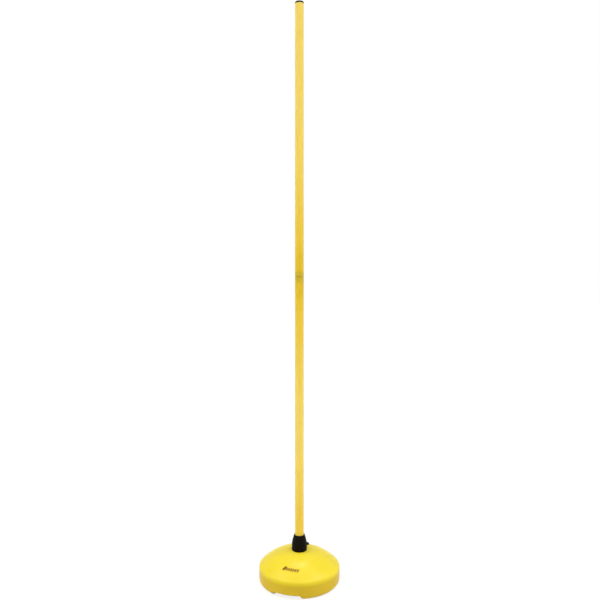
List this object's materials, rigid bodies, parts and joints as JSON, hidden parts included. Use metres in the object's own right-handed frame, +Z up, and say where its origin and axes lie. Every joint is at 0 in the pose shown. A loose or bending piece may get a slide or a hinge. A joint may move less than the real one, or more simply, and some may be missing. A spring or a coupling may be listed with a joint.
{
  "type": "slalom pole",
  "caption": "Slalom pole: a straight yellow plastic pole, screwed together at mid height, held by a black clamping collar on a hollow round base that is filled to weigh it down.",
  "frame": {"origin": "on the floor under the pole's axis, at the middle of the feet's undersides", "axes": "+Z up along the pole, -Y towards the gap between two feet under the base's marked front, +X to the right of it"},
  "size_m": [0.233, 0.233, 1.6803],
  "materials": {
    "base_plastic": "satin, blow-moulded",
    "pole_plastic": "semi-gloss, extruded",
    "collar_plastic": "satin, injection-moulded",
    "insert_plastic": "matte, injection-moulded",
    "seal_rubber": "matte"
  },
  "bodies": {
    "base": {"base_shell": "base_plastic", "neck_seal": "seal_rubber", "pole_socket": "collar_plastic"},
    "collet": {"clamp_collet": "collar_plastic"},
    "nut": {"clamp_nut": "collar_plastic"},
    "filler": {"filler_plug": "collar_plastic", "filler_seal": "seal_rubber"},
    "lower_pole": {"lower_tube": "pole_plastic", "lower_end_plug": "collar_plastic", "lower_joint_insert": "insert_plastic"},
    "washer": {"joint_washer": "seal_rubber"},
    "upper_pole": {"upper_tube": "pole_plastic", "upper_joint_plug": "insert_plastic", "top_cap": "collar_plastic"}
  },
  "joints": [
    {"name": "collet_travel", "type": "slide", "parent": "base", "child": "collet", "axis": [0, 0, 1], "range_m": [0, 0.00826]},
    {"name": "nut_turn", "type": "hinge", "parent": "collet", "child": "nut", "pos_m": [0, 0, 0.12], "axis": [0, 0, 1], "range_deg": [0, 990]},
    {"name": "filler_pull", "type": "slide", "parent": "base", "child": "filler", "axis": [0, 0.2012, 0.9796], "range_m": [0, 0.02]},
    {"name": "pole_lift", "type": "slide", "parent": "base", "child": "lower_pole", "axis": [0, 0, 1], "range_m": [0, 0.06]},
    {"name": "washer_travel", "type": "slide", "parent": "lower_pole", "child": "washer", "axis": [0, 0, 1], "range_m": [0, 0.01601]},
    {"name": "upper_turn", "type": "hinge", "parent": "washer", "child": "upper_pole", "pos_m": [0, 0, 0.88], "axis": [0, 0, 1], "range_deg": [0, 1440]}
  ],
  "couplings": [
    {"joint": "collet_travel", "follows": "nut_turn", "m_per_rad": 0.00047746},
    {"joint": "washer_travel", "follows": "upper_turn", "m_per_rad": 0.00063662}
  ]
}
